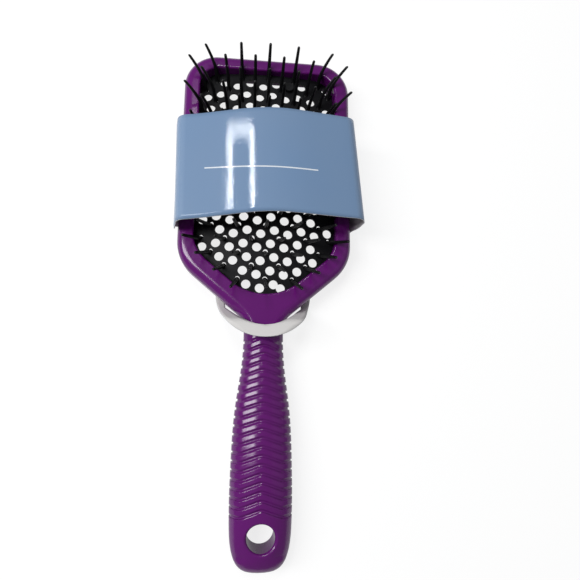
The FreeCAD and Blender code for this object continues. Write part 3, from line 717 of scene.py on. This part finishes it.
def bare_back():
    """Unprinted grey card, mottled and a little fuzzy."""
    material, tree, shader = new_material("bare_card_back")
    place = own_place(tree)
    pulp = noise(tree, place, 900.0, detail=4.0)
    mottle = noise(tree, place, 70.0, detail=3.0)
    set_inputs(tree, shader, {
        "Base Color": mix_colours(tree, mottle, BARE_CARD, BARE_CARD_DARK),
        "Roughness": calculate(tree, "MULTIPLY_ADD", pulp, ROUGH_SPREAD, 0.70),
        "Normal": bumped(tree, pulp, PULP_RELIEF).outputs["Normal"]})
    return material


def cut_edge():
    """The pale layers that show where the blank was cut."""
    material, tree, shader = new_material("cut_card_edge")
    layers = noise(tree, own_place(tree), 3000.0, detail=3.0)
    set_inputs(tree, shader, {
        "Base Color": mix_colours(tree, layers, CUT_CARD_DARK, CUT_CARD),
        "Roughness": calculate(tree, "MULTIPLY_ADD", layers, ROUGH_SPREAD, 0.75)})
    return material


for material in (printed_front(), bare_back(), cut_edge()):
    card_mesh.materials.append(material)
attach(sleeve, "sleeve")
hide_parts("card_sleeve")


# Table: a plain white sheet that the brush lies on. To the camera it reads as white, and it keeps
# the soft shadow of the brush. The glossy plastic mirrors it only faintly.
TABLE_Z = CARD_BACK_Z - 0.0001
TABLE_HALF = 3.0
TABLE_WHITE, TABLE_SHADED = (0.80, 0.80, 0.80, 1), (0.24, 0.24, 0.24, 1)
TABLE_GLOW = 0.80
TABLE_MIRRORED = 0.35
sheet = bmesh.new()
bmesh.ops.create_grid(sheet, x_segments=1, y_segments=1, size=TABLE_HALF,
                      matrix=Matrix.Translation((0, 0, TABLE_Z)))
table_mesh = bpy.data.meshes.new("table")
sheet.to_mesh(table_mesh)
sheet.free()
table = shown("table", table_mesh)
white = bpy.data.materials.new("white_table")
white.use_nodes = True
tree = white.node_tree
tree.nodes.clear()
ray = tree.nodes.new("ShaderNodeLightPath").outputs
mirrored = calculate(tree, "MULTIPLY", ray["Is Glossy Ray"], TABLE_MIRRORED)
seen = calculate(tree, "MAXIMUM", ray["Is Camera Ray"], mirrored)
seen = calculate(tree, "MAXIMUM", seen, ray["Is Transmission Ray"])
plain = add_node(tree, "ShaderNodeBsdfDiffuse", {"Color": TABLE_WHITE})
shaded = add_node(tree, "ShaderNodeBsdfDiffuse", {"Color": TABLE_SHADED})
glow = add_node(tree, "ShaderNodeEmission", {"Color": (1, 1, 1, 1), "Strength": TABLE_GLOW})
bright = add_node(tree, "ShaderNodeAddShader", {0: shaded.outputs[0], 1: glow.outputs[0]})
mixed = add_node(tree, "ShaderNodeMixShader", {"Fac": seen, 1: plain.outputs[0], 2: bright.outputs[0]})
add_node(tree, "ShaderNodeOutputMaterial", {"Surface": mixed.outputs[0]})
table_mesh.materials.append(white)


# Light: a long softbox up to the left, two narrow panes and a bar beyond the head that streak the
# varnished card, a faint fill from the right, and a pale room.
AIM = Vector((0.0, 0.10, 0.0))
ROOM_TINT, ROOM_STRENGTH = (0.96, 0.98, 1.0, 1), 0.24


def softbox(name, place, width, length, power, aimed=True):
    """A rectangular lamp, aimed at the brush or facing straight down."""
    lamp = bpy.data.lights.new(name, "AREA")
    lamp.shape = "RECTANGLE"
    lamp.size, lamp.size_y = width, length
    lamp.energy = power
    holder = bpy.data.objects.new(name, lamp)
    holder.location = place
    if aimed:
        holder.rotation_euler = (Vector(place) - AIM).to_track_quat("Z", "Y").to_euler()
    bpy.context.scene.collection.objects.link(holder)


softbox("left_softbox", (-0.42, 0.16, 0.58), 0.20, 0.50, 3.8)
softbox("far_pane_left", (-0.200, 0.465, 0.72), 0.012, 0.17, 0.60, aimed=False)
softbox("far_pane_right", (-0.068, 0.465, 0.72), 0.012, 0.17, 0.60, aimed=False)
softbox("far_bar", (-0.134, 0.550, 0.72), 0.13, 0.014, 0.36, aimed=False)
softbox("right_fill", (0.60, 0.10, 0.55), 0.60, 0.60, 0.15)

room = bpy.data.worlds.new("pale_room")
room.use_nodes = True
set_inputs(room.node_tree, room.node_tree.nodes["Background"], {
    "Color": ROOM_TINT, "Strength": ROOM_STRENGTH})
bpy.context.scene.world = room


# Camera: close above the grip, tipped towards the head, as the photograph was taken. Its place, turn
# and lens were fitted to the outline of the brush.
CAMERA_PLACE, CAMERA_TURN = (-0.01025, 0.06788, 0.20984), (9.62, -6.09, 0.48)
LENS_MM, SENSOR_MM = 28.86, 36.0
lens = bpy.data.cameras.new("photo_camera")
lens.lens, lens.sensor_width = LENS_MM, SENSOR_MM
camera = bpy.data.objects.new("photo_camera", lens)
camera.location = CAMERA_PLACE
camera.rotation_euler = [math.radians(turn) for turn in CAMERA_TURN]
bpy.context.scene.collection.objects.link(camera)
bpy.context.scene.camera = camera
bpy.context.scene.view_settings.view_transform = "Standard"
